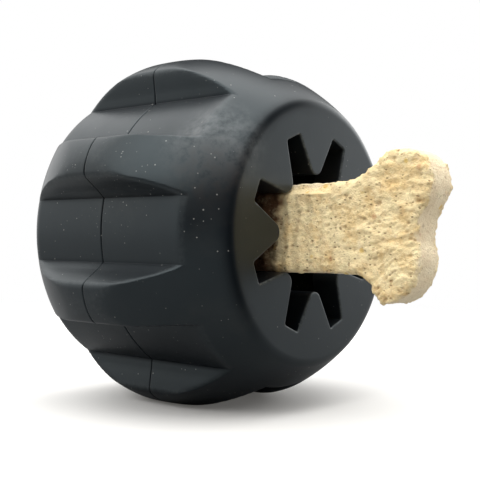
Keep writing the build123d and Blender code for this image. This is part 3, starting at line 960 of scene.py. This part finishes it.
def build_biscuit():
    """The blank with its baked surface, uneven outer knobs, the teeth's tracks and painted shade on the inner
    end.
    """
    mesh = biscuit_blank()
    co = vertex_vectors(mesh, "co")
    normals = vertex_vectors(mesh, "normal")

    half = BISCUIT_SIZE.y / 2 + CRUST
    ragged = np.array([fbm(p, 0.45, 3) for p in co]) * 1.1
    face = smooth_step(np.abs(co[:, 1]) + ragged, half - 1.5, half - 0.7)
    shank = 1 - smooth_step(np.abs(co[:, 0]), SHANK_HALF_LENGTH - 6, SHANK_HALF_LENGTH + 5)
    points = zip(co, face.tolist(), shank.tolist())
    relief, pits, toast = np.array([biscuit_relief(*point) for point in points]).T
    top_edge = smooth_step(co[:, 2], 4, 8) * shank * np.array([noise.noise(Vector(p) * 0.45) for p in co])
    co = co + normals * (relief + face * FACE_LIFT + top_edge * RAGGED_TOP)[:, None]
    co = clear_of_teeth(uneven_knobs(co) + np.array(BISCUIT_CENTRE))

    # how deep inside the mouth, for the painted shade there
    depth = LENGTH - co[:, 0] + ragged * 1.5 + np.clip(co[:, 2], -8, 8) * 0.15
    mouth_shade = smooth_step(depth, MOUTH_SHADE_FROM, MOUTH_SHADE_TO)
    mesh.vertices.foreach_set("co", (co * MM).ravel())
    mesh.polygons.foreach_set("use_smooth", [True] * len(mesh.polygons))
    add_attributes(mesh, {"rough_face": face, "pit": pits, "toast": toast, "mouth_shade": mouth_shade})
    mesh.materials.clear()
    mesh.materials.append(biscuit_material())
    mesh.update()
    biscuit = new_object("baked_bone_biscuit", mesh)
    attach(biscuit, "biscuit")
    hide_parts("bone_biscuit")
    return biscuit


# ---------------------------------------------------------------- studio
FLOOR_REACH = 3.0           # metres
FLOOR_LIFT = 0.08           # how much paler the floor looks to the camera than its light makes it
FLOOR_FADE = (0.14, 0.34)   # metres from the origin over which the floor turns into the backdrop

# soft panels of light; sides are directions round from the camera, in degrees to its right
UPPER, LOWER = (28, 55), (-5, 28)      # heights of the two rows of panels, in degrees
STUDIO_PANELS = [
    (-45, *UPPER, 4.3),
    (0, *UPPER, 0.2),
    (45, *UPPER, 1.4),
    (90, *UPPER, 1.4),
    (135, *UPPER, 1.9),
    (-90, *UPPER, 1.9),
    (-135, *UPPER, 1.9),
    (90, *LOWER, 0.8),
    (135, *LOWER, 2.8),
    (-90, *LOWER, 1.1),
    (-135, *LOWER, 1.5),
]
PANEL_WIDTH = 45            # degrees
SIDE_SOFTNESS, HEIGHT_SOFTNESS = 16, 10
OVERHEAD_HEIGHTS = (55, 95)
OVERHEAD_BRIGHTNESS = 3.2
BACKDROP_BRIGHTNESS = 1.0

FILL_POWER = 0.5            # watts
FILL_SIZE = 0.25            # metres across
FILL_DISTANCE = 0.5         # metres from the mouth
FILL_AZIMUTH = math.radians(30)     # round from the -Y side towards +X
FILL_ELEVATION = math.radians(20)

CAMERA_AZIMUTH = 40.51      # degrees round from the -Y side towards the mouth
CAMERA_ELEVATION = -0.22
CAMERA_ROLL = 0.74
CAMERA_DISTANCE = 226.6     # from the barrel's middle, along the view direction, mm
CAMERA_SHIFT = (7.52, -1.80)   # across and up in the picture's plane, mm
CAMERA_LENS = 66.1
CAMERA_SENSOR = 36.0


def build_floor(height):
    """Pale floor that turns into the white backdrop away from the toy."""
    n = Nodes("pale_floor")
    where = n.add("ShaderNodeTexCoord").outputs["Object"]
    soft = n.noise(where, 3.0, 2.0).outputs["Fac"]
    tone = n.mix(soft, (0.77, 0.76, 0.735, 1.0), (0.79, 0.78, 0.76, 1.0))
    seen = n.add("ShaderNodeLightPath").outputs["Is Camera Ray"]
    tone = n.mix(seen, grey(0.28), tone)
    paper = n.add("ShaderNodeBsdfPrincipled", {
        "Base Color": tone, "Roughness": 0.9,
        "Emission Color": (1.0, 0.97, 0.92, 1.0), "Emission Strength": n.math("MULTIPLY", seen, FLOOR_LIFT),
    })
    backdrop = n.add("ShaderNodeEmission", {"Color": grey(1.0), "Strength": BACKDROP_BRIGHTNESS})
    distance = n.add("ShaderNodeVectorMath", {0: where}, operation="LENGTH").outputs["Value"]
    fade = n.math("MULTIPLY", n.ramp(distance, *FLOOR_FADE), seen)
    shader = n.add("ShaderNodeMixShader", {0: fade, 1: paper.outputs[0], 2: backdrop.outputs[0]})
    mesh = bpy.data.meshes.new("floor")
    corners = [(x * FLOOR_REACH, y * FLOOR_REACH, height) for x, y in ((-1, -1), (1, -1), (1, 1), (-1, 1))]
    mesh.from_pydata(corners, [], [(0, 1, 2, 3)])
    mesh.materials.append(n.finish(shader.outputs[0]))
    new_object("floor", mesh)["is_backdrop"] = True


def soft_window(n, value, low, high, softness):
    """1 between two angles (degrees), with edges softened over some degrees; value is in radians."""
    scale = 180 / math.pi / softness
    rise = n.math("MULTIPLY", n.math("SUBTRACT", value, math.radians(low - softness / 2)), scale, clamp=True)
    fall = n.math("MULTIPLY", n.math("SUBTRACT", math.radians(high + softness / 2), value), scale, clamp=True)
    return n.math("MULTIPLY", rise, fall)


def light_biscuit(biscuit):
    """Soft lamp, for the biscuit alone, that fills the shadow the mouth throws on it."""
    lamp = new_object("biscuit_fill", bpy.data.lights.new("biscuit_fill", "AREA"))
    lamp.data.energy = FILL_POWER
    lamp.data.size = FILL_SIZE
    away = direction(FILL_AZIMUTH, FILL_ELEVATION)
    place = Vector((LENGTH * MM, 0, 0)) + away * FILL_DISTANCE
    lamp.matrix_world = Matrix.Translation(place) @ away.to_track_quat("Z", "Y").to_matrix().to_4x4()
    lit = bpy.data.collections.new("lit_by_fill")
    lit.objects.link(biscuit)
    lamp.light_linking.receiver_collection = lit


def build_world():
    """White backdrop for the camera; the toy is lit by soft panels all round and from above."""
    n = Nodes("white_studio", "worlds")
    sight = n.add("ShaderNodeTexCoord").outputs["Generated"]
    turned = n.add("ShaderNodeVectorRotate", {"Vector": sight}, rotation_type="Z_AXIS")
    turned.inputs["Angle"].default_value = math.radians(-CAMERA_AZIMUTH)
    parts = n.add("ShaderNodeSeparateXYZ", {0: turned.outputs[0]}).outputs
    side = n.math("ARCTAN2", parts[0], n.math("MULTIPLY", parts[1], -1.0))
    height = n.math("ARCSINE", parts[2])
    above = soft_window(n, height, *OVERHEAD_HEIGHTS, HEIGHT_SOFTNESS)
    total = n.math("MULTIPLY", above, OVERHEAD_BRIGHTNESS)
    for place, low, high, brightness in STUDIO_PANELS:
        offset = n.math("WRAP", n.math("SUBTRACT", side, math.radians(place)), math.pi, third=-math.pi)
        across = soft_window(n, offset, -PANEL_WIDTH / 2, PANEL_WIDTH / 2, SIDE_SOFTNESS)
        patch = n.math("MULTIPLY", across, soft_window(n, height, low, high, HEIGHT_SOFTNESS))
        total = n.math("ADD", total, n.math("MULTIPLY", patch, brightness))
    seen = n.add("ShaderNodeLightPath").outputs["Is Camera Ray"]
    strength = n.add("ShaderNodeMix", {0: seen, 2: total, 3: BACKDROP_BRIGHTNESS}, data_type="FLOAT")
    glow = n.add("ShaderNodeBackground", {"Color": grey(1.0), "Strength": strength.outputs[0]})
    n.add("ShaderNodeOutputWorld", {"Surface": glow.outputs[0]})
    bpy.context.scene.world = n.owner


def build_camera():
    """Camera beside the mouth, all but level."""
    azimuth, roll = math.radians(CAMERA_AZIMUTH), math.radians(CAMERA_ROLL)
    back = direction(azimuth, math.radians(CAMERA_ELEVATION))
    level = Vector((math.cos(azimuth), math.sin(azimuth), 0))
    upright = back.cross(level)
    right = level * math.cos(roll) + upright * math.sin(roll)
    up = upright * math.cos(roll) - level * math.sin(roll)
    middle = Vector((PARTING_X, 0, 0))
    place = middle + back * CAMERA_DISTANCE + right * CAMERA_SHIFT[0] + up * CAMERA_SHIFT[1]
    data = bpy.data.cameras.new("camera")
    data.lens = CAMERA_LENS
    data.sensor_width = CAMERA_SENSOR
    data.clip_start = 0.005
    camera = new_object("camera", data)
    turned = Matrix((right, up, back)).transposed().to_4x4()
    camera.matrix_world = Matrix.Translation(place * MM) @ turned
    bpy.context.scene.camera = camera


build_rubber()
light_biscuit(build_biscuit())
build_floor(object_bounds()[0].z)
build_world()
build_camera()
bpy.context.scene.view_settings.view_transform = "Standard"
